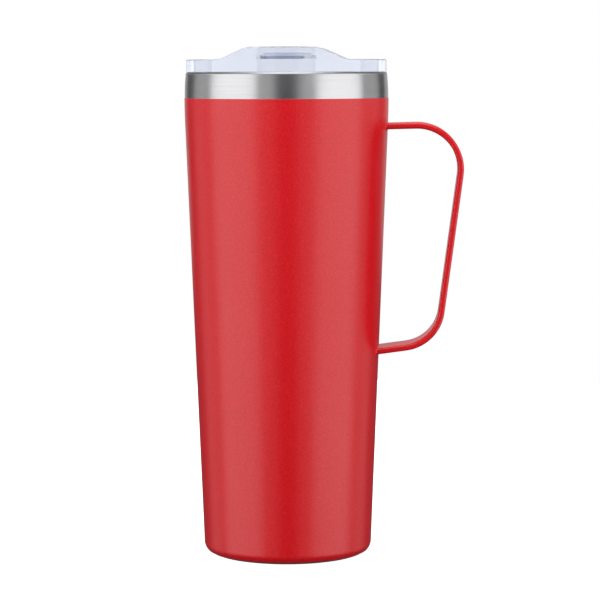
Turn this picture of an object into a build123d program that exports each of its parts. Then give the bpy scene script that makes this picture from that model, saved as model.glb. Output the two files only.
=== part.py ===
"""Tall vacuum insulated travel mug with a strap handle and a clear press-in lid.

Millimetres, +Z up. The origin is the centre of the foot, on the surface that the mug stands on.
The handle is on +X, and the lid's drinking hole is at the front, on -Y.

The mug is two stainless walls with a vacuum between them. They meet only at the curled lip. The lid
is one clear moulding that plugs the mouth, with a ridge from front to back that houses a slider.
Heights on the lid are measured from its seat, just above the rim.
"""

from build123d import *
import math
import os

# ---- mug: overall sizes ----
rim_height = 213.6  # top of the curled lip
collar_radius = 45.0  # widest part, over the coat
foot_radius = 37.1  # where the tapered wall would meet the ground, over the coat
collar_height = 16.9  # straight stretch below the rim
collar_bend = 5.0  # length of the soft bend, each side of where taper and collar meet
band_height = 11.4  # bare steel between the coat and the rim

# ---- mug: walls ----
coat = 0.15  # powder coat thickness
shell_wall = 0.6
liner_wall = 0.6
vacuum_gap = 2.45
lip_inset = 0.45  # how far the band leans in before it meets the lip
lip_width = 2.1  # across the curled lip
lip_seam = 1.2  # depth of the seam below the rim
mouth_depth = 14.0  # straight mouth that takes the lid's plug
mouth_step = 3.0  # height of the step below the mouth
step_blend = 1.6

# ---- mug: bottom ----
foot_corner = 4.9  # outside corner, over the coat
foot_width = 4.6  # flat ring that stands on the ground
seam_height = 9.0  # seam between shell and base cup
base_recess = 1.5  # how far the middle is set up from the ground
base_slope = 2.4  # radial run of that step
base_blend = 2.0
emboss_radius = 15.0
emboss_width = 1.8
emboss_depth = 0.4
coat_foot = 1.1  # height where the coat ends, round the foot's corner
closure_wall = 0.6  # stamped disc that closes the vacuum
closure_above = 3.5  # seam to its upper face
closure_below = 2.5  # seam to the foot of its rim
closure_fit = 0.03  # all round, inside the shell
closure_blend = 1.4
dimple_radius = 5.0
dimple_run = 1.2
dimple_depth = 1.0
pump_hole_radius = 0.6
bead_radius = 2.8  # glass that seals the pump hole
bead_height = 0.9
floor_gap = 4.5  # vacuum between the closure and the liner's bottom
floor_rise = 1.0  # gentle step up in its middle
floor_rise_radius = 18.0
floor_rise_run = 4.0
floor_corner = 8.0  # inside corner of the liner's bottom
floor_seam = 12.0  # seam above the underside

# ---- getter ----
getter_offset = 16.0
getter_radius = 4.0
getter_thickness = 1.8
clip_sheet = 0.4
clip_width = 5.0
clip_foot = 2.5
clip_splay = 0.9
clip_clearance = 0.3

# ---- handle ----
strap_width = 19.0
strap_thickness = 2.7
strap_edge = 1.0  # rounding of the strap's edges
grip_room = 34.6  # collar to the upper corner, on the strap's centre line
grip_below_coat = 11.6  # coat's top edge to the upper corner
grip_drop = 96.3  # upper corner to lower corner
grip_lean = 7.7  # degrees from upright
arm_rise = 1.4  # degrees, upper arm
arm_fall = 7.9  # degrees, lower arm
upper_bend = 19.2
lower_bend = 18.2
weld_size = 0.9

# ---- lid: overall ----
seat_gap = 0.1  # between the rim and the lid
lid_inset = 0.3  # lid's side behind the lip's outside
ledge_height = 5.3  # low sides of the lid
ridge_height = 10.6  # top of the ridge
ridge_half_top = 15.2
ridge_half_foot = 27.2
ridge_blend = 10.0
lid_wall = 2.0
ring_wall = 1.6
top_edge = 0.7  # rounding of the lid's upper edge
plug_clearance = 1.0  # between the plug and the mouth
plug_wall = 2.2
plug_above_step = 2.4  # plug's tip to the foot of the straight mouth
plug_tip = 0.6

# ---- lid: slider track ----
track_half = 9.2  # half the wide lower slot, under the rails
track_wall = 1.5
track_floor = 5.4
track_floor_wall = 2.0
track_height = 1.8  # floor to the underside of the rails
rail_width = 1.6
guide_depth = 2.0  # how far the guide ribs hang below the seat
sip_width = 7.2  # drinking hole, front to back
vent_radius = 1.2
vent_margin = 8.0  # vent's centre to the track's rear end
stop_width = 1.6
stop_height = 1.0

# ---- slider ----
slide_clearance = 0.15
pad_gap = 0.05
slider_length = 38.0
slider_travel = 12.0
slider_rise = 0.8  # top of the slider above the underside of the rails
slider_edge = 0.4
boss_margin = 1.45  # thumb boss to the slider's side
boss_inset = 19.0  # slider's front end to the middle of the thumb boss
boss_height = 1.4
boss_edge = 0.8
boss_rim = 1.8  # boss's side to its dish
boss_dish_depth = 0.4
pad_wall_side = 0.85  # slider's wall beside the pad's pocket
pad_wall_front = 1.15
pad_lap_side = 1.7  # how far the pad laps over the drinking hole
pad_lap_front = 1.1
pad_corner = 4.0
pad_thickness = 1.2

# ---- lid seal ----
groove_top = 4.4  # below the seat
groove_height = 4.2
groove_depth = 1.1
seal_gap = 0.05
seal_band = 0.7  # how far the seal's band stands out of the groove floor
fin_count = 2
fin_root = 1.2
fin_tip = 0.35
fin_rise = 0.5

# ---- derived sizes ----
collar_start = rim_height - collar_height
wall_slope = (collar_radius - foot_radius) / collar_start
half_turn = math.tan(math.atan(wall_slope) / 2)
collar_blend = collar_bend / half_turn
coat_top = rim_height - band_height
lip_radius = collar_radius - coat - lip_inset
lip_centre = rim_height - lip_width / 2
mouth_radius = lip_radius - lip_width
mouth_foot = rim_height - mouth_depth
step_foot = mouth_foot - mouth_step
liner_inset = coat + shell_wall + vacuum_gap + liner_wall
closure_height = seam_height + closure_above
closure_foot = seam_height - closure_below
closure_inset = coat + shell_wall + closure_fit
floor_height = closure_height + floor_gap
liner_seam = floor_height + floor_seam

lid_base = rim_height + seat_gap
lid_radius = lip_radius - lid_inset
plug_radius = mouth_radius - plug_clearance
plug_bore = plug_radius - plug_wall
plug_foot = mouth_foot + plug_above_step
plug_depth = lid_base - plug_foot
ring_bore = lid_radius - ring_wall
ramp_angle = math.atan2(ridge_height - ledge_height, ridge_half_foot - ridge_half_top)
groove_radius = plug_radius - groove_depth
slot_half = track_half - rail_width
rail_height = track_floor + track_height
flange_half = track_half - slide_clearance
slider_half = slot_half - slide_clearance
slider_front = plug_bore - slide_clearance
slider_rear = slider_length - slider_front
slider_top = rail_height + slider_rise
boss_centre = slider_front - boss_inset
boss_radius = slider_half - boss_margin
pad_half_length = flange_half - pad_wall_side
pad_half_width = sip_width / 2 + pad_lap_front
sip_half_length = pad_half_length - pad_lap_side
sip_centre = slider_front - pad_wall_front - pad_half_width
vent_centre = plug_bore - vent_margin


def wall_point(height, inset):
    """Point on the tapered wall at a height, set in square to the coat's face."""
    return (foot_radius + wall_slope * height - inset * math.hypot(1, wall_slope), height)


def foot_points(inset):
    """Flat ring and corner of the foot, set in from the coat's face."""
    flat_start = foot_radius - foot_corner - foot_width
    return [(flat_start, inset - coat), wall_point(inset - coat, inset)]


def collar_points(inset, top):
    """Bend and straight stretch of the collar, set in square to the coat's face."""
    return [(collar_radius - inset, collar_start + inset * half_turn), (collar_radius - inset, top)]


# ---- outer shell: hydroformed tube, bare at the top, leaning in to the lip ----
with BuildPart() as outer_shell:
    with BuildSketch(Plane.XZ):
        with BuildLine():
            side = FilletPolyline(
                wall_point(seam_height, coat),
                *collar_points(coat, coat_top),
                radius=collar_blend - coat,
            )
            TangentArc(side @ 1, (lip_radius, rim_height - lip_seam), tangent=side % 1)
            offset(amount=shell_wall, side=Side.LEFT)
        make_face()
    revolve(axis=Axis.Z)

# ---- base cup: stamped bottom with the foot ring, welded to the shell ----
with BuildPart() as base_cup:
    with BuildSketch(Plane.XZ):
        with BuildLine():
            foot_ring = foot_points(coat)
            FilletPolyline(
                (0, base_recess),
                (emboss_radius - emboss_width, base_recess),
                (emboss_radius, base_recess + emboss_depth),
                (emboss_radius + emboss_width, base_recess),
                (foot_ring[0][0] - base_slope, base_recess),
                *foot_ring,
                wall_point(seam_height, coat),
                radius=[base_blend] * 5 + [foot_corner - coat],
            )
            offset(amount=shell_wall, side=Side.LEFT)
        make_face()
    revolve(axis=Axis.Z)

# ---- inner liner: straight mouth, step, tapered wall and the lip curled over the shell ----
with BuildPart() as inner_liner:
    with BuildSketch(Plane.XZ):
        with BuildLine():
            wall = FilletPolyline(
                wall_point(liner_seam, liner_inset),
                wall_point(step_foot, liner_inset),
                (mouth_radius, mouth_foot),
                (mouth_radius, lip_centre),
                radius=step_blend,
            )
            curl = TangentArc(wall @ 1, (lip_radius, lip_centre), tangent=wall % 1)
            Line(curl @ 1, (lip_radius, rim_height - lip_seam))
            offset(amount=liner_wall, side=Side.RIGHT)
        make_face()
    revolve(axis=Axis.Z)

# ---- liner bottom: stamped dish ----
with BuildPart() as liner_bottom:
    with BuildSketch(Plane.XZ):
        with BuildLine():
            dish = floor_height + liner_wall
            FilletPolyline(
                (0, dish + floor_rise),
                (floor_rise_radius, dish + floor_rise),
                (floor_rise_radius + floor_rise_run, dish),
                wall_point(dish, liner_inset),
                wall_point(liner_seam, liner_inset),
                radius=[floor_corner / 2, floor_corner / 2, floor_corner],
            )
            offset(amount=liner_wall, side=Side.RIGHT)
        make_face()
    revolve(axis=Axis.Z)

# ---- vacuum closure: disc inside the seam, with a dimple and the pump hole ----
with BuildPart() as vacuum_closure:
    with BuildSketch(Plane.XZ):
        with BuildLine():
            FilletPolyline(
                (pump_hole_radius, closure_height + dimple_depth),
                (dimple_radius - dimple_run, closure_height + dimple_depth),
                (dimple_radius, closure_height),
                wall_point(closure_height, closure_inset),
                wall_point(closure_foot, closure_inset),
                radius=[closure_wall, closure_wall * 2, closure_blend],
            )
            offset(amount=closure_wall, side=Side.RIGHT)
        make_face()
    revolve(axis=Axis.Z)

# ---- solder bead: glass in the dimple, melted up into the pump hole ----
with BuildPart() as solder_bead:
    with BuildSketch(Plane.XZ):
        with BuildLine():
            hole_top = closure_height + dimple_depth
            hole_foot = hole_top - closure_wall
            Polyline(
                (0, hole_foot - bead_height),
                (0, hole_top),
                (pump_hole_radius, hole_top),
                (pump_hole_radius, hole_foot),
                (bead_radius, hole_foot),
            )
            TangentArc((0, hole_foot - bead_height), (bead_radius, hole_foot), tangent=(1, 0))
        make_face()
    revolve(axis=Axis.Z)

# ---- getter: pellet under a spot-welded clip, in the vacuum ----
with BuildPart() as getter_pellet:
    with BuildSketch(Plane.XY.offset(closure_height)):
        with Locations((getter_offset, 0)):
            Circle(getter_radius)
    extrude(amount=getter_thickness)

with BuildPart() as getter_clip:
    with BuildSketch(Plane.YZ.offset(getter_offset)):
        with BuildLine():
            shoulder = getter_radius + clip_clearance
            heel = shoulder + clip_splay
            clip_top = closure_height + getter_thickness
            Polyline(
                (-heel - clip_foot, closure_height),
                (-heel, closure_height),
                (-shoulder, clip_top),
                (shoulder, clip_top),
                (heel, closure_height),
                (heel + clip_foot, closure_height),
            )
            offset(amount=clip_sheet, side=Side.LEFT)
        make_face()
    extrude(amount=clip_width / 2, both=True)

# ---- handle: bent strap, cut to the shell, with a fillet weld at each end ----
with BuildPart() as shell_core:
    with BuildSketch(Plane.YZ):
        with BuildLine():
            core_side = FilletPolyline(
                wall_point(0, coat),
                *collar_points(coat, rim_height),
                radius=collar_blend - coat,
            )
            Polyline(core_side @ 1, (0, rim_height), (0, 0), core_side @ 0)
        make_face()
    revolve(axis=Axis.Z)



def meets_shell(edge):
    """True for an edge whose ends lie on the shell's wall, on the handle's side."""
    return all(
        abs(math.hypot(end.X, end.Y) - min(wall_point(end.Z, coat)[0], collar_radius - coat)) < coat
        and end.X > strap_width
        for end in edge.vertices()
    )


with BuildPart() as handle:
    upper_corner = Vector(collar_radius + grip_room, 0, coat_top - grip_below_coat)
    lower_corner = upper_corner - Vector(grip_drop * math.tan(math.radians(grip_lean)), 0, grip_drop)
    upper_drop = upper_corner.X * math.tan(math.radians(arm_rise))
    lower_drop = lower_corner.X * math.tan(math.radians(arm_fall))
    with BuildLine() as strap_path:
        FilletPolyline(
            (0, 0, upper_corner.Z - upper_drop),
            upper_corner,
            lower_corner,
            (0, 0, lower_corner.Z - lower_drop),
            radius=[upper_bend, lower_bend],
        )
    with BuildSketch(Plane(strap_path.line @ 0, x_dir=(0, 1, 0), z_dir=strap_path.line % 0)):
        RectangleRounded(strap_width, strap_thickness, strap_edge)
    sweep()
    add(shell_core.part)
    fillet(edges().filter_by(meets_shell), radius=weld_size)
    add(shell_core.part, mode=Mode.SUBTRACT)

# ---- powder coat: skin over shell and base cup, open where the handle is welded on ----
with BuildPart() as powder_coat:
    with BuildSketch(Plane.XZ):
        with BuildLine():
            FilletPolyline(
                *foot_points(0),
                *collar_points(0, coat_top),
                radius=[foot_corner, collar_blend],
            )
            offset(amount=coat, side=Side.LEFT)
        make_face()
        Rectangle(collar_radius * 2, coat_foot * 2, mode=Mode.SUBTRACT)
    revolve(axis=Axis.Z)
    add(handle.part, mode=Mode.SUBTRACT)


def ridge_face(depth, foot):
    """Front view of the lid, set down from its face by a depth, down to a foot height."""
    shift = depth * math.tan(ramp_angle / 2)
    low = lid_base + ledge_height - depth
    high = lid_base + ridge_height - depth
    with BuildSketch(Plane.XZ) as front:
        with BuildLine():
            top = FilletPolyline(
                (-lid_radius, low),
                (shift - ridge_half_foot, low),
                (shift - ridge_half_top, high),
                (ridge_half_top - shift, high),
                (ridge_half_foot - shift, low),
                (lid_radius, low),
                radius=[
                    ridge_blend + depth,
                    ridge_blend - depth,
                    ridge_blend - depth,
                    ridge_blend + depth,
                ],
            )
            Polyline(top @ 1, (lid_radius, foot), (-lid_radius, foot), top @ 0)
        make_face()
    return front.sketch


# ---- lid: hollows below its plate and the space that the slider runs in ----
with BuildPart() as lid_hollow:
    extrude(ridge_face(lid_wall, plug_foot), amount=lid_radius, both=True)
    with BuildSketch(Plane.XY.offset(plug_foot)):
        Circle(ring_bore)
        Circle(plug_radius, mode=Mode.SUBTRACT)
        Circle(plug_bore)
    extrude(amount=plug_depth + ridge_height, mode=Mode.INTERSECT)

with BuildPart() as track_space:
    with BuildSketch(Plane.XZ):
        with Locations((0, lid_base + track_floor)):
            Rectangle(track_half * 2, rail_height - track_floor, align=(Align.CENTER, Align.MIN))
            Rectangle(slot_half * 2, ridge_height, align=(Align.CENTER, Align.MIN))
        with Locations((0, lid_base + track_floor - track_floor_wall)):
            Rectangle(track_half * 2, plug_depth, align=(Align.CENTER, Align.MAX))
    extrude(amount=plug_bore, both=True)
    with BuildSketch(Plane.XY.offset(plug_foot - plug_depth)):
        Circle(plug_bore)
    extrude(amount=plug_depth * 2 + ridge_height * 2, mode=Mode.INTERSECT)

# ---- lid body: one clear moulding ----
with BuildPart() as lid_body:
    extrude(ridge_face(0, lid_base), amount=lid_radius, both=True)
    with BuildSketch(Plane.XY.offset(lid_base)):
        Circle(lid_radius)
    extrude(amount=ridge_height, mode=Mode.INTERSECT)
    rim_edges = edges().filter_by(Axis.Y, reverse=True).group_by(Axis.Z)[1:]
    fillet([edge for group in rim_edges for edge in group], radius=top_edge)
    with BuildSketch(Plane.XY.offset(plug_foot)):
        Circle(plug_radius)
    extrude(amount=plug_depth)
    chamfer(edges().group_by(Axis.Z)[0], length=plug_tip)
    add(lid_hollow.part, mode=Mode.SUBTRACT)
    with BuildSketch(Plane.XY.offset(lid_base - guide_depth)):
        Circle(plug_radius - plug_wall / 2)
        Rectangle(track_half * 2 + track_wall * 2, plug_radius * 2, mode=Mode.INTERSECT)
    extrude(amount=guide_depth + ridge_height - lid_wall)
    add(track_space.part, mode=Mode.SUBTRACT)
    with BuildSketch(Plane.XY.offset(lid_base + track_floor)):
        with Locations((0, -sip_centre)):
            SlotOverall(sip_half_length * 2, sip_width)
        with Locations((0, vent_centre)):
            Circle(vent_radius)
    extrude(amount=-track_floor_wall, mode=Mode.SUBTRACT)
    with BuildSketch(Plane.XY.offset(lid_base + track_floor)):
        with Locations((0, slider_rear + slider_travel + slide_clearance)):
            Rectangle(track_half * 2, stop_width, align=(Align.CENTER, Align.MIN))
    extrude(amount=stop_height)
    with BuildSketch(Plane.XY.offset(lid_base - groove_top)):
        Circle(mouth_radius)
        Circle(groove_radius, mode=Mode.SUBTRACT)
    extrude(amount=-groove_height, mode=Mode.SUBTRACT)

# ---- slider: flange under the rails, upper body in the slot, thumb boss, pocket for the pad ----
def slider_face(half_width, height):
    """Plan of the slider at a height, its front end rounded to the lid's plug."""
    with BuildSketch(Plane.XY.offset(lid_base + height)) as plan:
        Circle(slider_front)
        with Locations((0, -slider_front)):
            Rectangle(
                half_width * 2,
                slider_length,
                align=(Align.CENTER, Align.MIN),
                mode=Mode.INTERSECT,
            )
    return plan.sketch


def pad_face(height):
    """Plan of the pad at a height. It laps over the drinking hole all round."""
    with BuildSketch(Plane.XY.offset(lid_base + height)) as plan:
        with Locations((0, -sip_centre)):
            RectangleRounded(pad_half_length * 2, pad_half_width * 2, pad_corner)
    return plan.sketch


with BuildPart() as slider:
    flange_foot = track_floor + slide_clearance
    flange_top = rail_height - slide_clearance
    extrude(slider_face(flange_half, flange_foot), amount=flange_top - flange_foot)
    extrude(slider_face(slider_half, flange_foot), amount=slider_top - flange_foot)
    fillet(faces().sort_by(Axis.Z)[-1].edges(), radius=slider_edge)
    with BuildSketch(Plane.XY.offset(lid_base + slider_top)):
        with Locations((0, -boss_centre)):
            Circle(boss_radius)
    extrude(amount=boss_height)
    fillet(faces().sort_by(Axis.Z)[-1].edges(), radius=boss_edge)
    with BuildSketch(Plane.XY.offset(lid_base + slider_top + boss_height)):
        with Locations((0, -boss_centre)):
            Circle(boss_radius - boss_rim)
    extrude(amount=-boss_dish_depth, mode=Mode.SUBTRACT)
    extrude(pad_face(track_floor), amount=pad_gap + pad_thickness, mode=Mode.SUBTRACT)

with BuildPart() as slider_pad:
    extrude(pad_face(track_floor + pad_gap), amount=pad_thickness)

# ---- lid seal: band in the plug's groove with flexible fins to the mouth ----
with BuildPart() as lid_seal:
    seal_foot = lid_base - groove_top - groove_height + seal_gap
    seal_height = groove_height - seal_gap * 2
    band_radius = groove_radius + seal_gap + seal_band
    with BuildSketch(Plane.XY.offset(seal_foot)):
        Circle(band_radius)
        Circle(groove_radius + seal_gap, mode=Mode.SUBTRACT)
    extrude(amount=seal_height)
    with BuildSketch(Plane.XZ):
        for fin in range(fin_count):
            fin_foot = seal_foot + seal_height * (fin + 0.5) / fin_count - fin_root / 2
            tip_foot = fin_foot + (fin_root - fin_tip) / 2 + fin_rise
            with BuildLine():
                Polyline(
                    (band_radius - seal_band / 2, fin_foot),
                    (band_radius, fin_foot),
                    (mouth_radius - seal_gap, tip_foot),
                    (mouth_radius - seal_gap, tip_foot + fin_tip),
                    (band_radius, fin_foot + fin_root),
                    (band_radius - seal_band / 2, fin_foot + fin_root),
                    close=True,
                )
            make_face()
    revolve(axis=Axis.Z)

finished = {
    "outer_shell": outer_shell.part,
    "base_cup": base_cup.part,
    "powder_coat": powder_coat.part,
    "inner_liner": inner_liner.part,
    "liner_bottom": liner_bottom.part,
    "vacuum_closure": vacuum_closure.part,
    "solder_bead": solder_bead.part,
    "getter_pellet": getter_pellet.part,
    "getter_clip": getter_clip.part,
    "handle": handle.part,
    "lid_seal": lid_seal.part,
    "lid_body": lid_body.part,
    "slider": slider.part,
    "slider_pad": slider_pad.part,
}
os.makedirs("parts", exist_ok=True)
for node_name, solid in finished.items():
    solid.label = node_name
    export_step(solid, f"parts/{node_name}.step")
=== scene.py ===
"""Insulated travel mug: coated double-wall body with a strap handle, and a clear lid with a slider.

Every piece is modelled in metres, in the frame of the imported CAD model: +Z up, the handle on +X and
the drinking hole at the front, on -Y.
"""

import math

import bpy
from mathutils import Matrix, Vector


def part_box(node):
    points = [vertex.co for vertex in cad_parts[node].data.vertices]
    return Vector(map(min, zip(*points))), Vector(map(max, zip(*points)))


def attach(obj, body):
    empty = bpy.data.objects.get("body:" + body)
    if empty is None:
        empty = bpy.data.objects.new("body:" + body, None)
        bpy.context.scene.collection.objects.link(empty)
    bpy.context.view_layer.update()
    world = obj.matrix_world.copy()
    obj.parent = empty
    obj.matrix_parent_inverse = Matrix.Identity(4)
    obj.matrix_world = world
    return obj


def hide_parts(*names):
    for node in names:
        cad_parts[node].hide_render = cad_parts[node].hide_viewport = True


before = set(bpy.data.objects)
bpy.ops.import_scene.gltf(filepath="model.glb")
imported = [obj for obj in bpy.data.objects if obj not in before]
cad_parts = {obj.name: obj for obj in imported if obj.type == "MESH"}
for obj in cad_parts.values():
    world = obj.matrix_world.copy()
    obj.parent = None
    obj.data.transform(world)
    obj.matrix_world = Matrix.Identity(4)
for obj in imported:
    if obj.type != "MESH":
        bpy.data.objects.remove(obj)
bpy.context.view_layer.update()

MM = 0.001
AROUND = 224  # segments round the mug
ARC_STEP = math.radians(9)
MERGE = 0.001 * MM
SMOOTH = math.radians(40)

# ---- sizes read from the frame ----
COLLAR_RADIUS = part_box("powder_coat")[1].x
COAT_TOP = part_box("powder_coat")[1].z
RIM_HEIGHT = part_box("inner_liner")[1].z
LIP_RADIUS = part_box("inner_liner")[1].x
SEAM_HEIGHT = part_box("outer_shell")[0].z
LINER_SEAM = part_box("inner_liner")[0].z
LID_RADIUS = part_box("lid_body")[1].x
LID_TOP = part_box("lid_body")[1].z
PLUG_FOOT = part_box("lid_body")[0].z
SEAL_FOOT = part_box("lid_seal")[0].z
SEAL_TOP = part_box("lid_seal")[1].z
SEAL_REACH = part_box("lid_seal")[1].x
SLIDER_LOW, SLIDER_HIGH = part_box("slider")
PAD_LOW, PAD_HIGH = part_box("slider_pad")

# ---- mug: sizes of its own ----
FOOT_RADIUS = 37.1 * MM
COLLAR_START = RIM_HEIGHT - 16.9 * MM
COLLAR_BEND = 249 * MM
COAT = 0.15 * MM
SHEET = 0.6 * MM
LINER_INSET = 3.8 * MM
LIP_WIDTH = 2.1 * MM
LIP_SEAM = 1.2 * MM
MOUTH_RADIUS = LIP_RADIUS - LIP_WIDTH
MOUTH_FOOT = RIM_HEIGHT - 14 * MM
STEP_FOOT = MOUTH_FOOT - 3 * MM
FOOT_CORNER = 4.9 * MM
FOOT_WIDTH = 4.6 * MM
SLOPE = (COLLAR_RADIUS - FOOT_RADIUS) / COLLAR_START

# ---- lid: sizes of its own ----
LID_BASE = RIM_HEIGHT + 0.1 * MM
LEDGE = 5.3 * MM
RIDGE_TOP = LID_TOP - LID_BASE
RIDGE_HALF_TOP = 15.2 * MM
RIDGE_HALF_FOOT = 27.2 * MM
RIDGE_BLEND = 10 * MM
TOP_EDGE = 0.7 * MM
LID_WALL = 2 * MM
RING_BORE = LID_RADIUS - 1.6 * MM
PLUG_RADIUS = MOUTH_RADIUS - 1 * MM
PLUG_WALL = 2.2 * MM
PLUG_BORE = PLUG_RADIUS - PLUG_WALL
PLUG_TIP = 0.6 * MM
GUIDE_DEPTH = 2 * MM
GROOVE_TOP = LID_BASE - 4.4 * MM
GROOVE_HEIGHT = 4.2 * MM
GROOVE_RADIUS = PLUG_RADIUS - 1.1 * MM
TRACK_HALF = 9.2 * MM
TRACK_WALL = 1.5 * MM
TRACK_FLOOR = LID_BASE + 5.4 * MM
FLOOR_WALL = 2 * MM
RAIL = TRACK_FLOOR + 1.8 * MM
SLOT_HALF = TRACK_HALF - 1.6 * MM
SIP_CENTRE = (PAD_LOW.y + PAD_HIGH.y) / 2
SIP_HALF_LENGTH = PAD_HIGH.x - 1.7 * MM
SIP_HALF_WIDTH = 3.6 * MM
SIP_CORNER = SIP_HALF_WIDTH * 0.98  # just short of half round, so that each end keeps a small flat
VENT_CENTRE = PLUG_BORE - 8 * MM
VENT_RADIUS = 1.2 * MM
STOP_NEAR = SLIDER_HIGH.y + 12.15 * MM
STOP_WIDTH = 1.6 * MM
STOP_HEIGHT = 1 * MM
SLIDE_GAP = 0.15 * MM
SLIDER_HALF = SLOT_HALF - SLIDE_GAP
SLIDER_RISE = 8 * MM
SLIDER_EDGE = 0.4 * MM
BOSS_CENTRE = SLIDER_LOW.y + 19 * MM
BOSS_RADIUS = SLIDER_HALF - 1.45 * MM
BOSS_HEIGHT = 1.4 * MM
BOSS_EDGE = 0.8 * MM
BOSS_RIM = 1.8 * MM
BOSS_DISH = 0.4 * MM
PAD_CORNER = 4 * MM
PAD_EDGE = 0.25 * MM
SEAL_GAP = 0.05 * MM
SEAL_BAND = 0.7 * MM
FIN_ROOT = 1.2 * MM
FIN_TIP = 0.35 * MM
FIN_RISE = 0.5 * MM


# ---- modelling tools ----
def start_clean():
    """Nothing selected and nothing in edit mode, so that an operator acts on the new piece alone."""
    if bpy.context.object and bpy.context.object.mode != "OBJECT":
        bpy.ops.object.mode_set(mode="OBJECT")
    bpy.ops.object.select_all(action="DESELECT")


def pick(piece):
    """Selects one piece and makes it active."""
    start_clean()
    piece.select_set(True)
    bpy.context.view_layer.objects.active = piece


def edit(piece):
    """Opens a piece in edit mode with all of it selected."""
    pick(piece)
    bpy.ops.object.mode_set(mode="EDIT")
    bpy.ops.mesh.select_all(action="SELECT")


def apply_place():
    """Leaves edit mode and moves the active piece's place into its mesh."""
    bpy.ops.object.mode_set(mode="OBJECT")
    bpy.ops.object.transform_apply(location=True, rotation=True, scale=True)


def rounded(*corners):
    """Points through corners given as (x, z, radius), with an arc at each corner that has a radius."""
    points = []
    for index, (x, z, radius) in enumerate(corners):
        here = Vector((x, z))
        if radius == 0:
            points.append(here)
            continue
        back = (Vector(corners[index - 1][:2]) - here).normalized()
        ahead = (Vector(corners[(index + 1) % len(corners)][:2]) - here).normalized()
        half = back.angle(ahead) / 2
        start = here + back * radius / math.tan(half)
        centre = here + (back + ahead).normalized() * radius / math.sin(half)
        turn = math.pi - 2 * half
        if back.cross(ahead) > 0:
            turn = -turn
        steps = max(3, math.ceil(abs(turn) / ARC_STEP))
        for step in range(steps + 1):
            angle = turn * step / steps
            spoke = start - centre
            points.append(centre + Vector((
                spoke.x * math.cos(angle) - spoke.y * math.sin(angle),
                spoke.x * math.sin(angle) + spoke.y * math.cos(angle),
            )))
    return points


def thicken(path, wall):
    """Closed outline of a sheet: a path and its offset by the wall, to the path's left."""
    offset = []
    for index, here in enumerate(path):
        back = path[max(index - 1, 0)]
        ahead = path[min(index + 1, len(path) - 1)]
        into = (here - back).normalized() if here != back else (ahead - here).normalized()
        out = (ahead - here).normalized() if ahead != here else into
        along = (into + out).normalized()
        offset.append(here + Vector((-along.y, along.x)) * wall / max(along.dot(out), 0.5))
    return path + offset[::-1]


def draw(name, points, closed=True):
    """New piece in edit mode: one vertex pulled along a line of points in space."""
    start_clean()
    bpy.ops.mesh.primitive_plane_add(size=MM, location=points[0])
    piece = bpy.context.object
    piece.name = name
    bpy.ops.object.mode_set(mode="EDIT")
    bpy.ops.mesh.select_all(action="SELECT")
    bpy.ops.mesh.merge(type="CENTER")
    route = points[1:] + points[:1] if closed else points[1:]
    here = points[0]
    for there in route:
        bpy.ops.mesh.extrude_region_move(TRANSFORM_OT_translate={"value": there - here})
        here = there
    bpy.ops.mesh.select_all(action="SELECT")
    bpy.ops.mesh.remove_doubles(threshold=MERGE)
    return piece


def upright(outline, depth=0.0):
    """Outline points (x, z) set up in space on a plane across the Y axis."""
    return [Vector((point.x, depth, point.y)) for point in outline]


def turned(name, outline, centre=(0, 0, 0), around=AROUND):
    """Piece of revolution about a vertical axis, from an outline on its right-hand side."""
    meets_axis = max(outline[0].x, outline[-1].x) < MERGE
    piece = draw(name, [point + Vector(centre) for point in upright(outline)], closed=not meets_axis)
    bpy.ops.mesh.select_all(action="SELECT")
    bpy.ops.mesh.spin(steps=around, angle=math.tau, center=centre, axis=(0, 0, 1))
    bpy.ops.mesh.select_all(action="SELECT")
    bpy.ops.mesh.remove_doubles(threshold=MERGE)
    bpy.ops.mesh.normals_make_consistent(inside=False)
    apply_place()
    return piece


def prism(name, outline, reach):
    """Solid with the same outline, seen from the front, over a reach each way along Y."""
    piece = draw(name, upright(outline, -reach))
    bpy.ops.mesh.edge_face_add()
    bpy.ops.mesh.extrude_region_move(TRANSFORM_OT_translate={"value": (0, 2 * reach, 0)})
    bpy.ops.mesh.select_all(action="SELECT")
    bpy.ops.mesh.normals_make_consistent(inside=False)
    apply_place()
    return piece


def slab(name, outline, low, high):
    """Solid with the same outline, seen from above as (x, y) points, between two heights."""
    piece = draw(name, [Vector((point.x, point.y, low)) for point in outline])
    bpy.ops.mesh.edge_face_add()
    bpy.ops.mesh.extrude_region_move(TRANSFORM_OT_translate={"value": (0, 0, high - low)})
    bpy.ops.mesh.select_all(action="SELECT")
    bpy.ops.mesh.normals_make_consistent(inside=False)
    apply_place()
    return piece


def drum(name, radius, low, high, bore=0.0):
    """Plain round solid between two heights, or a ring if it has a bore."""
    return turned(name, [Vector(p) for p in ((bore, low), (radius, low), (radius, high), (bore, high))])


def join_solid(piece, tool, operation):
    """Unites a piece with a tool solid, cuts it away, or keeps what they share, and uses the tool up."""
    pick(piece)
    modifier = piece.modifiers.new(operation.lower(), "BOOLEAN")
    modifier.operation = operation
    modifier.object = tool
    modifier.solver = "EXACT"
    bpy.ops.object.modifier_apply(modifier=modifier.name)
    mesh = tool.data
    bpy.data.objects.remove(tool)
    bpy.data.meshes.remove(mesh)


def select_edges(piece, test):
    """Opens a piece in edit mode with only the edges selected whose two ends pass a test."""
    edit(piece)
    bpy.ops.mesh.select_mode(type="EDGE")
    bpy.ops.mesh.select_all(action="DESELECT")
    bpy.ops.object.mode_set(mode="OBJECT")
    corners = piece.data.vertices
    for edge in piece.data.edges:
        edge.select = test(*[corners[index].co for index in edge.vertices])
    bpy.ops.object.mode_set(mode="EDIT")


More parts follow.
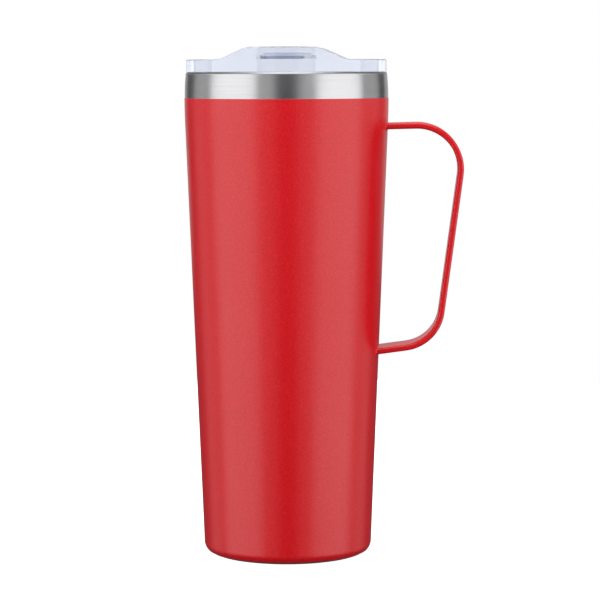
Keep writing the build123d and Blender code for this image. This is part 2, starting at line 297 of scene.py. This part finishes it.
def soften(piece, angle=SMOOTH, flats=True):
    """Smooth shading over gentle angles, with flat faces kept flat."""
    edit(piece)
    bpy.ops.mesh.select_mode(type="VERT")
    bpy.ops.mesh.select_all(action="SELECT")
    bpy.ops.mesh.remove_doubles(threshold=MERGE)
    bpy.ops.mesh.normals_make_consistent(inside=False)
    bpy.ops.object.mode_set(mode="OBJECT")
    bpy.ops.object.shade_smooth_by_angle(angle=angle)
    if flats:
        modifier = piece.modifiers.new("flats", "WEIGHTED_NORMAL")
        modifier.keep_sharp = True
        bpy.ops.object.modifier_apply(modifier=modifier.name)


def place(piece, material, body, slot, *nodes):
    """Gives a finished piece its material and its body, and hides the nodes that it stands for; the slot is
    not used.
    """
    piece.data.materials.clear()
    piece.data.materials.append(material)
    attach(piece, body)
    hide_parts(*nodes)


# ---- material tools ----
class Finish:
    """A material with its shader, and short ways to add the nodes that feed it."""

    def __init__(self, name):
        self.material = bpy.data.materials.new(name)
        self.material.use_nodes = True
        self.tree = self.material.node_tree
        self.shader = self.tree.nodes["Principled BSDF"]
        self.place = self.add("ShaderNodeTexCoord").outputs["Object"]

    def add(self, kind, **settings):
        node = self.tree.nodes.new(kind)
        for key, value in settings.items():
            setattr(node, key, value)
        return node

    def link(self, source, target):
        self.tree.links.new(source, target)

    def set(self, **values):
        for key, value in values.items():
            self.shader.inputs[key.replace("_", " ")].default_value = value

    def noise(self, scale, detail=2.0, rough=0.5, stretch=(1, 1, 1)):
        mapping = self.add("ShaderNodeMapping")
        mapping.inputs["Scale"].default_value = stretch
        self.link(self.place, mapping.inputs["Vector"])
        node = self.add("ShaderNodeTexNoise")
        node.inputs["Scale"].default_value = scale
        node.inputs["Detail"].default_value = detail
        node.inputs["Roughness"].default_value = rough
        self.link(mapping.outputs["Vector"], node.inputs["Vector"])
        return node.outputs["Fac"]

    def ramp(self, source, *stops):
        node = self.add("ShaderNodeValToRGB")
        bar = node.color_ramp.elements
        while len(bar) < len(stops):
            bar.new(0.5)
        for stop, (position, colour) in zip(bar, stops):
            stop.position = position
            stop.color = (*colour, 1)
        self.link(source, node.inputs["Fac"])
        return node.outputs["Color"]

    def span(self, source, low, high, source_low=0.3, source_high=0.7):
        node = self.add("ShaderNodeMapRange")
        node.inputs["From Min"].default_value = source_low
        node.inputs["From Max"].default_value = source_high
        node.inputs["To Min"].default_value = low
        node.inputs["To Max"].default_value = high
        self.link(source, node.inputs["Value"])
        return node.outputs["Result"]

    def bump(self, source, height, strength=1.0, under=None):
        node = self.add("ShaderNodeBump")
        node.inputs["Distance"].default_value = height
        node.inputs["Strength"].default_value = strength
        self.link(source, node.inputs["Height"])
        if under is not None:
            self.link(under, node.inputs["Normal"])
        return node.outputs["Normal"]


def red_powder_coat():
    """Satin red powder coat: pigment grain, orange peel and a fine tooth on top."""
    coat = Finish("red_powder_coat")
    grain = coat.noise(1900, detail=3, rough=0.65)
    peel = coat.noise(620, detail=1.5)
    cloud = coat.noise(28, detail=2)
    colour = coat.ramp(
        grain,
        (0.34, (0.60, 0.002, 0.005)),
        (0.5, (0.71, 0.003, 0.008)),
        (0.66, (0.82, 0.012, 0.022)),
    )
    coat.link(colour, coat.shader.inputs["Base Color"])
    coat.link(coat.span(cloud, 0.29, 0.33), coat.shader.inputs["Roughness"])
    skin = coat.bump(peel, 0.045 * MM, 0.5)
    coat.link(coat.bump(grain, 0.025 * MM, 0.6, under=skin), coat.shader.inputs["Normal"])
    coat.set(IOR=1.5)
    return coat.material


def brushed_steel(name, roughness, stretch=(30, 30, 5200), tone=(0.43, 0.43, 0.435)):
    """Stainless steel, brushed round the axis: fine rings in tone, roughness and bump."""
    steel = Finish(name)
    rings = steel.noise(1, detail=3, rough=0.7, stretch=stretch)
    stain = steel.noise(45, detail=3)
    light = tuple(min(1, value * 1.06) for value in tone)
    dark = tuple(value * 0.93 for value in tone)
    steel.link(steel.ramp(rings, (0.3, dark), (0.7, light)), steel.shader.inputs["Base Color"])
    steel.link(steel.span(stain, roughness * 0.9, roughness * 1.15), steel.shader.inputs["Roughness"])
    steel.link(steel.bump(rings, 0.002 * MM, 0.35), steel.shader.inputs["Normal"])
    tangent = steel.add("ShaderNodeTangent", direction_type="RADIAL", axis="Z")
    steel.link(tangent.outputs["Tangent"], steel.shader.inputs["Tangent"])
    steel.set(Metallic=1.0, Anisotropic=0.3)
    return steel.material


def clear_plastic():
    """Clear moulded plastic with a pale blue cast and the faint waviness of a moulding."""
    clear = Finish("clear_plastic")
    wave = clear.noise(90, detail=1)
    haze = clear.noise(380, detail=2)
    clear.link(
        clear.ramp(wave, (0.3, (0.70, 0.74, 0.86)), (0.7, (0.73, 0.765, 0.875))),
        clear.shader.inputs["Base Color"],
    )
    clear.link(clear.span(haze, 0.015, 0.045), clear.shader.inputs["Roughness"])
    clear.link(clear.bump(wave, 0.02 * MM, 0.3), clear.shader.inputs["Normal"])
    clear.set(Transmission_Weight=0.94, IOR=1.5)
    return clear.material


def clear_silicone():
    """Frosted clear silicone."""
    silicone = Finish("clear_silicone")
    grain = silicone.noise(1500, detail=2)
    silicone.link(
        silicone.ramp(grain, (0.3, (0.86, 0.885, 0.92)), (0.7, (0.9, 0.92, 0.95))),
        silicone.shader.inputs["Base Color"],
    )
    silicone.link(silicone.span(grain, 0.35, 0.5), silicone.shader.inputs["Roughness"])
    silicone.link(silicone.bump(grain, 0.004 * MM, 0.5), silicone.shader.inputs["Normal"])
    silicone.set(Transmission_Weight=0.55, IOR=1.41)
    return silicone.material


def solder_glass():
    """Dark green-grey sealing glass."""
    glass = Finish("solder_glass")
    swirl = glass.noise(900, detail=3)
    glass.link(
        glass.ramp(swirl, (0.3, (0.012, 0.016, 0.013)), (0.7, (0.03, 0.036, 0.03))),
        glass.shader.inputs["Base Color"],
    )
    glass.link(glass.span(swirl, 0.08, 0.2), glass.shader.inputs["Roughness"])
    return glass.material


def getter_metal():
    """Pressed and sintered dark grey metal powder."""
    powder = Finish("getter_alloy")
    grit = powder.noise(5200, detail=3, rough=0.7)
    powder.link(
        powder.ramp(grit, (0.3, (0.03, 0.03, 0.032)), (0.7, (0.1, 0.1, 0.105))),
        powder.shader.inputs["Base Color"],
    )
    powder.link(powder.span(grit, 0.55, 0.8), powder.shader.inputs["Roughness"])
    powder.link(powder.bump(grit, 0.03 * MM, 0.8), powder.shader.inputs["Normal"])
    powder.set(Metallic=0.7)
    return powder.material


# ---- mug body ----
def wall_point(height, inset):
    """Point (x, z) on the tapered wall, set in square to the coat's face."""
    return FOOT_RADIUS + SLOPE * height - inset * math.hypot(1, SLOPE), height


def foot_corners(inset):
    """Flat ring and corner of the foot, as corners of an outline."""
    flat_start = FOOT_RADIUS - FOOT_CORNER - FOOT_WIDTH
    return (flat_start, inset - COAT, 0), (*wall_point(inset - COAT, inset), FOOT_CORNER - inset)


def make_coat(material):
    """Coat: a skin from round the foot's corner to a crisp edge below the rim."""
    foot_end = 1.1 * MM
    edge = 0.1 * MM
    skin = rounded(
        *foot_corners(0),
        (COLLAR_RADIUS, COLLAR_START, COLLAR_BEND),
        (COLLAR_RADIUS, COAT_TOP, edge),
        (COLLAR_RADIUS - COAT, COAT_TOP, 0),
    )
    skin = [point for point in skin if point.y > foot_end]
    back = rounded(
        *foot_corners(COAT),
        (COLLAR_RADIUS - COAT, COLLAR_START, COLLAR_BEND),
        (COLLAR_RADIUS - COAT, COAT_TOP - edge, 0),
    )
    back = [point for point in back if point.y > foot_end]
    coat = turned("coat", skin + back[::-1])
    soften(coat, flats=False)
    place(coat, material, "mug", "red_powder_coat", "powder_coat")
    return coat


def make_shell(material):
    """Shell: the tapered tube under the coat, bare at the top, leaning in to the lip."""
    band_top = RIM_HEIGHT - LIP_SEAM
    path = rounded(
        (*wall_point(SEAM_HEIGHT, COAT), 0),
        (COLLAR_RADIUS - COAT, COLLAR_START, COLLAR_BEND),
        (COLLAR_RADIUS - COAT, COAT_TOP + (band_top - COAT_TOP) / 2, 90 * MM),
        (LIP_RADIUS, band_top, 0),
    )
    shell = turned("shell", thicken(path, SHEET))
    soften(shell, flats=False)
    place(shell, material, "mug", "brushed_stainless", "outer_shell")
    return shell


def make_liner(material):
    """Liner: tapered wall, small step, straight mouth and the lip curled out over the shell."""
    path = rounded(
        (*wall_point(LINER_SEAM, LINER_INSET), 0),
        (*wall_point(STEP_FOOT, LINER_INSET), 1.6 * MM),
        (MOUTH_RADIUS, MOUTH_FOOT, 1.6 * MM),
        (MOUTH_RADIUS, RIM_HEIGHT, LIP_WIDTH / 2),
        (LIP_RADIUS, RIM_HEIGHT, LIP_WIDTH / 2),
        (LIP_RADIUS, RIM_HEIGHT - LIP_SEAM, 0),
    )
    liner = turned("liner", thicken(path, -SHEET))
    soften(liner, flats=False)
    place(liner, material, "mug", "liner_stainless", "inner_liner")
    return liner


def make_liner_bottom(material):
    """Bottom of the liner: a dish with a round corner and a gentle step up in the middle."""
    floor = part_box("liner_bottom")[0].z + SHEET
    rise = 1 * MM
    path = rounded(
        (0, floor + rise, 0),
        (18 * MM, floor + rise, 4 * MM),
        (22 * MM, floor, 4 * MM),
        (*wall_point(floor, LINER_INSET), 8 * MM),
        (*wall_point(LINER_SEAM, LINER_INSET), 0),
    )
    dish = turned("liner_dish", thicken(path, -SHEET))
    soften(dish, flats=False)
    place(dish, material, "mug", "liner_stainless", "liner_bottom")
    return dish


def make_base_cup(material):
    """Base cup: foot ring, recessed middle and a shallow round emboss."""
    recess = 1.5 * MM
    emboss = 15 * MM
    emboss_run = 1.8 * MM
    flat_start = foot_corners(COAT)[0][0]
    path = rounded(
        (0, recess, 0),
        (emboss - emboss_run, recess, 2 * MM),
        (emboss, recess + 0.4 * MM, 2 * MM),
        (emboss + emboss_run, recess, 2 * MM),
        (flat_start - 2.4 * MM, recess, 2 * MM),
        (flat_start, 0, 2 * MM),
        (*wall_point(0, COAT), FOOT_CORNER - COAT),
        (*wall_point(SEAM_HEIGHT, COAT), 0),
    )
    cup = turned("base_cup_skin", thicken(path, SHEET))
    soften(cup, flats=False)
    place(cup, material, "mug", "brushed_stainless", "base_cup")
    return cup


# ---- lid ----
def ridge_outline(depth, foot):
    """Front view of the lid, set down from its face by a depth, down to a foot height."""
    shift = depth * math.tan(math.atan2(RIDGE_TOP - LEDGE, RIDGE_HALF_FOOT - RIDGE_HALF_TOP) / 2)
    low, high = LID_BASE + LEDGE - depth, LID_BASE + RIDGE_TOP - depth
    half_foot, half_top = RIDGE_HALF_FOOT - shift, RIDGE_HALF_TOP - shift
    valley, brow = RIDGE_BLEND + depth, RIDGE_BLEND - depth
    return rounded(
        (-LID_RADIUS, low, 0),
        (-half_foot, low, valley),
        (-half_top, high, brow),
        (half_top, high, brow),
        (half_foot, low, valley),
        (LID_RADIUS, low, 0),
        (LID_RADIUS, foot, 0),
        (-LID_RADIUS, foot, 0),
    )


def box_outline(half_width, near, far):
    """Rectangle seen from above, as (x, y) points."""
    corners = ((-half_width, near), (half_width, near), (half_width, far), (-half_width, far))
    return [Vector(corner) for corner in corners]


def slot_outline(half_length, half_width, corner, centre):
    """Rectangle with round corners seen from above, about a point on the Y axis."""
    near, far = centre - half_width, centre + half_width
    return rounded(
        (-half_length, near, corner),
        (half_length, near, corner),
        (half_length, far, corner),
        (-half_length, far, corner),
    )


def make_lid_hollow():
    """Space below the lid's plate: inside the plug, and the ring between plug and side wall."""
    hollow = prism("lid_hollow", ridge_outline(LID_WALL, PLUG_FOOT - MM), LID_RADIUS)
    room = drum("hollow_ring", RING_BORE, PLUG_FOOT, LID_TOP, bore=PLUG_RADIUS)
    join_solid(room, drum("hollow_middle", PLUG_BORE, PLUG_FOOT - MM, LID_TOP), "UNION")
    join_solid(hollow, room, "INTERSECT")
    return hollow


def make_track_space():
    """Space that the slider runs in: slot, wider track under the rails, and the room below the floor."""
    front_room = PLUG_BORE
    space = slab("track_space", box_outline(TRACK_HALF, -front_room, front_room), TRACK_FLOOR, RAIL)
    slot = slab("slot_space", box_outline(SLOT_HALF, -front_room, front_room), TRACK_FLOOR + MM, LID_TOP + MM)
    track = box_outline(TRACK_HALF, -front_room, front_room)
    below = slab("below_track", track, PLUG_FOOT - MM, TRACK_FLOOR - FLOOR_WALL)
    join_solid(space, slot, "UNION")
    join_solid(space, below, "UNION")
    join_solid(space, drum("track_bore", PLUG_BORE, PLUG_FOOT - 2 * MM, LID_TOP + 2 * MM), "INTERSECT")
    return space


def make_lid(material):
    """Lid: ridged plate with a soft outer edge, plug, slider track, drinking hole, vent, stop and groove."""
    lid = prism("lid", ridge_outline(0, LID_BASE), LID_RADIUS + MM)
    join_solid(lid, drum("lid_round", LID_RADIUS, LID_BASE - MM, LID_TOP + MM), "INTERSECT")
    select_edges(
        lid,
        lambda a, b: min(a.xy.length, b.xy.length) > LID_RADIUS - 0.05 * MM
        and min(a.z, b.z) > LID_BASE + MM
        and (a.xy - b.xy).length > 0.05 * MM,
    )
    bpy.ops.mesh.bevel(offset=TOP_EDGE, offset_type="WIDTH", segments=4, profile=0.5)
    bpy.ops.object.mode_set(mode="OBJECT")
    plug = turned("plug", [Vector(p) for p in (
        (0, PLUG_FOOT),
        (PLUG_RADIUS - PLUG_TIP, PLUG_FOOT),
        (PLUG_RADIUS, PLUG_FOOT + PLUG_TIP),
        (PLUG_RADIUS, LID_BASE + MM),
        (0, LID_BASE + MM),
    )])
    join_solid(lid, plug, "UNION")
    join_solid(lid, make_lid_hollow(), "DIFFERENCE")
    guides = slab(
        "guides", box_outline(TRACK_HALF + TRACK_WALL, -PLUG_RADIUS, PLUG_RADIUS),
        LID_BASE - GUIDE_DEPTH, LID_BASE + RIDGE_TOP - LID_WALL / 2,
    )
    guide_reach = PLUG_RADIUS - PLUG_WALL / 2
    join_solid(guides, drum("guide_round", guide_reach, LID_BASE - 2 * GUIDE_DEPTH, LID_TOP), "INTERSECT")
    join_solid(lid, guides, "UNION")
    join_solid(lid, make_track_space(), "DIFFERENCE")
    sip = slab("sip", slot_outline(SIP_HALF_LENGTH, SIP_HALF_WIDTH, SIP_CORNER, SIP_CENTRE),
               TRACK_FLOOR - 2 * FLOOR_WALL, TRACK_FLOOR + MM / 2)
    join_solid(lid, sip, "DIFFERENCE")
    vent = turned("vent", [Vector(p) for p in (
        (0, -2 * FLOOR_WALL), (VENT_RADIUS, -2 * FLOOR_WALL), (VENT_RADIUS, MM / 2), (0, MM / 2)
    )], centre=(0, VENT_CENTRE, TRACK_FLOOR), around=32)
    join_solid(lid, vent, "DIFFERENCE")
    stop = slab("stop", box_outline(TRACK_HALF + TRACK_WALL / 2, STOP_NEAR, STOP_NEAR + STOP_WIDTH),
                TRACK_FLOOR - FLOOR_WALL / 2, TRACK_FLOOR + STOP_HEIGHT)
    join_solid(lid, stop, "UNION")
    groove = drum("groove", MOUTH_RADIUS, GROOVE_TOP - GROOVE_HEIGHT, GROOVE_TOP, bore=GROOVE_RADIUS)
    join_solid(lid, groove, "DIFFERENCE")
    soften(lid, angle=math.radians(24))
    place(lid, material, "lid", "clear_plastic", "lid_body")
    return lid


def make_slider(material):
    """Slider: flange under the rails, body in the slot, dished thumb boss and the pad's pocket."""
    front, rear, top = SLIDER_LOW.y, SLIDER_HIGH.y, LID_BASE + SLIDER_RISE
    foot = SLIDER_LOW.z
    slider = slab("slider_body", box_outline(SLIDER_HIGH.x, front - MM, rear), foot, RAIL - SLIDE_GAP)
    body = slab("slider_upper", box_outline(SLIDER_HALF, front - MM, rear), foot, top)
    join_solid(slider, body, "UNION")
    join_solid(slider, drum("slider_front", -front, foot - MM, top + MM), "INTERSECT")
    select_edges(slider, lambda a, b: min(a.z, b.z) > top - 0.01 * MM)
    bpy.ops.mesh.bevel(offset=SLIDER_EDGE, offset_type="WIDTH", segments=3, profile=0.5)
    bpy.ops.object.mode_set(mode="OBJECT")
    boss = turned("boss", rounded(
        (0, -MM, 0),
        (BOSS_RADIUS, -MM, 0),
        (BOSS_RADIUS, BOSS_HEIGHT, BOSS_EDGE),
        (BOSS_RADIUS - BOSS_RIM, BOSS_HEIGHT, 0.2 * MM),
        (BOSS_RADIUS - BOSS_RIM - 0.3 * MM, BOSS_HEIGHT - BOSS_DISH, 0.2 * MM),
        (0, BOSS_HEIGHT - BOSS_DISH, 0),
    ), centre=(0, BOSS_CENTRE, top), around=72)
    join_solid(slider, boss, "UNION")
    pocket = slab("pocket", slot_outline(PAD_HIGH.x, (PAD_HIGH.y - PAD_LOW.y) / 2, PAD_CORNER, SIP_CENTRE),
                  foot - MM, PAD_HIGH.z)
    join_solid(slider, pocket, "DIFFERENCE")
    soften(slider, angle=math.radians(24))
    place(slider, material, "slider", "clear_plastic", "slider")
    return slider


def make_pad(material):
    """Pad: soft plug over the drinking hole, its lower edge rounded."""
    pad = slab("pad", slot_outline(PAD_HIGH.x, (PAD_HIGH.y - PAD_LOW.y) / 2, PAD_CORNER, SIP_CENTRE),
               PAD_LOW.z, PAD_HIGH.z)
    select_edges(pad, lambda a, b: max(a.z, b.z) < PAD_LOW.z + 0.01 * MM)
    bpy.ops.mesh.bevel(offset=PAD_EDGE, offset_type="WIDTH", segments=3, profile=0.5)
    bpy.ops.object.mode_set(mode="OBJECT")
    soften(pad)
    place(pad, material, "slider", "clear_silicone", "slider_pad")
    return pad


def make_seal(material):
    """Seal: band in the plug's groove, with two soft fins that lean up to the mouth."""
    inner, band = GROOVE_RADIUS + SEAL_GAP, GROOVE_RADIUS + SEAL_GAP + SEAL_BAND
    height = SEAL_TOP - SEAL_FOOT
    corners = [(inner, SEAL_FOOT, 0), (band, SEAL_FOOT, 0.15 * MM)]
    for fin in (0.25, 0.75):
        root = SEAL_FOOT + height * fin - FIN_ROOT / 2
        tip = root + (FIN_ROOT - FIN_TIP) / 2 + FIN_RISE
        corners += [
            (band, root, 0.2 * MM),
            (SEAL_REACH, tip, FIN_TIP * 0.4),
            (SEAL_REACH, tip + FIN_TIP, FIN_TIP * 0.4),
            (band, root + FIN_ROOT, 0.2 * MM),
        ]
    corners += [(band, SEAL_TOP, 0.15 * MM), (inner, SEAL_TOP, 0)]
    seal = turned("seal", rounded(*corners))
    soften(seal)
    place(seal, material, "seal", "clear_silicone", "lid_seal")
    return seal


# ---- lights, floor and camera ----
def make_stage():
    """Plain white floor that glows a little. It shows in no reflection and lights nothing."""
    paper = bpy.data.materials.new("white_paper")
    paper.use_nodes = True
    tree = paper.node_tree
    shader = tree.nodes["Principled BSDF"]
    shader.inputs["Base Color"].default_value = (0.92, 0.92, 0.92, 1)
    shader.inputs["Roughness"].default_value = 0.9
    shader.inputs["Emission Color"].default_value = (1, 1, 1, 1)
    shader.inputs["Emission Strength"].default_value = 0.9
    start_clean()
    bpy.ops.mesh.primitive_circle_add(vertices=96, radius=0.6, fill_type="NGON", location=(0, 0, -0.05 * MM))
    floor = bpy.context.object
    floor.name = "floor"
    floor.data.materials.append(paper)
    floor.visible_diffuse = False
    floor.visible_glossy = False


def softbox(name, azimuth, elevation, distance, width, height, power, target=(0, 0, 0.11)):
    """Rectangular light, placed by the direction that it is seen in from the mug. Azimuth 0 is the front."""
    turn, tilt = math.radians(azimuth), math.radians(elevation)
    away = Vector((math.sin(turn) * math.cos(tilt), -math.cos(turn) * math.cos(tilt), math.sin(tilt)))
    data = bpy.data.lights.new(name, "AREA")
    data.shape = "RECTANGLE"
    data.size = width
    data.size_y = height
    data.energy = power
    light = bpy.data.objects.new(name, data)
    light.location = Vector(target) + away * distance
    light.rotation_mode = "QUATERNION"
    light.rotation_quaternion = away.to_track_quat("Z", "Y")
    bpy.context.scene.collection.objects.link(light)
    return light


def light_studio():
    """Tall softboxes at the sides, weaker strips beside a dark gap in front, one overhead and one behind."""
    softbox("left_box", -60, 0, 1.0, 1.15, 1.3, 9.0)
    softbox("right_box", 65, 0, 1.0, 1.15, 1.3, 9.0)
    softbox("left_strip", -17, 0, 1.0, 0.26, 1.3, 0.75)
    softbox("right_strip", 23, 0, 1.0, 0.26, 1.3, 0.75)
    softbox("left_edge", -110, 0, 1.1, 0.5, 1.3, 1.2)
    softbox("right_edge", 115, 0, 1.1, 0.5, 1.3, 1.2)
    softbox("top_box", 0, 64, 1.1, 0.9, 0.7, 5.0)
    softbox("overhead", 0, 89, 1.3, 1.2, 1.2, 9.0)
    back = softbox("back_box", 180, 12, 1.3, 1.6, 0.8, 2.2)
    back.visible_camera = False
    back.visible_transmission = False
    world = bpy.data.worlds.new("studio")
    world.use_nodes = True
    tree = world.node_tree
    shade = tree.nodes["Background"]
    shade.inputs["Color"].default_value = (0.08, 0.08, 0.085, 1)
    paper = tree.nodes.new("ShaderNodeBackground")
    paper.inputs["Color"].default_value = (1, 1, 1, 1)
    mix = tree.nodes.new("ShaderNodeMixShader")
    path = tree.nodes.new("ShaderNodeLightPath")
    seen = tree.nodes.new("ShaderNodeMath")
    seen.operation = "MAXIMUM"
    tree.links.new(path.outputs["Is Camera Ray"], seen.inputs[0])
    tree.links.new(path.outputs["Is Transmission Ray"], seen.inputs[1])
    tree.links.new(seen.outputs["Value"], mix.inputs["Fac"])
    tree.links.new(shade.outputs["Background"], mix.inputs[1])
    tree.links.new(paper.outputs["Background"], mix.inputs[2])
    tree.links.new(mix.outputs["Shader"], tree.nodes["World Output"].inputs["Surface"])
    bpy.context.scene.world = world
    bpy.context.scene.view_settings.view_transform = "Standard"


def aim_camera():
    """Long lens, level with the lid and tilted down a little, a few degrees round towards the handle."""
    azimuth = math.radians(2.8)
    distance = 1.077
    height = 0.2158
    pan = math.radians(0.318)
    tilt = math.radians(5.476)
    roll = math.radians(0.14)
    data = bpy.data.cameras.new("camera")
    data.lens = 146.0
    camera = bpy.data.objects.new("camera", data)
    camera.location = (distance * math.sin(azimuth), -distance * math.cos(azimuth), height)
    camera.rotation_euler = (math.pi / 2 - tilt, roll, azimuth - pan)
    bpy.context.scene.collection.objects.link(camera)
    bpy.context.scene.camera = camera


red = red_powder_coat()
band_steel = brushed_steel("brushed_stainless", 0.24)
liner_steel = brushed_steel("liner_stainless", 0.3, stretch=(60, 60, 1500))
mill_steel = brushed_steel("mill_stainless", 0.4, stretch=(900, 900, 900), tone=(0.6, 0.6, 0.6))
clear = clear_plastic()
silicone = clear_silicone()

make_coat(red)
make_shell(band_steel)
make_liner(liner_steel)
make_liner_bottom(liner_steel)
make_base_cup(band_steel)
make_lid(clear)
make_slider(clear)
make_pad(silicone)
make_seal(silicone)

carried_over = {
    "handle": red,
    "vacuum_closure": mill_steel,
    "getter_clip": mill_steel,
    "solder_bead": solder_glass(),
    "getter_pellet": getter_metal(),
}
for node, material in carried_over.items():
    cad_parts[node].data.materials.clear()
    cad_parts[node].data.materials.append(material)

make_stage()
light_studio()
aim_camera()
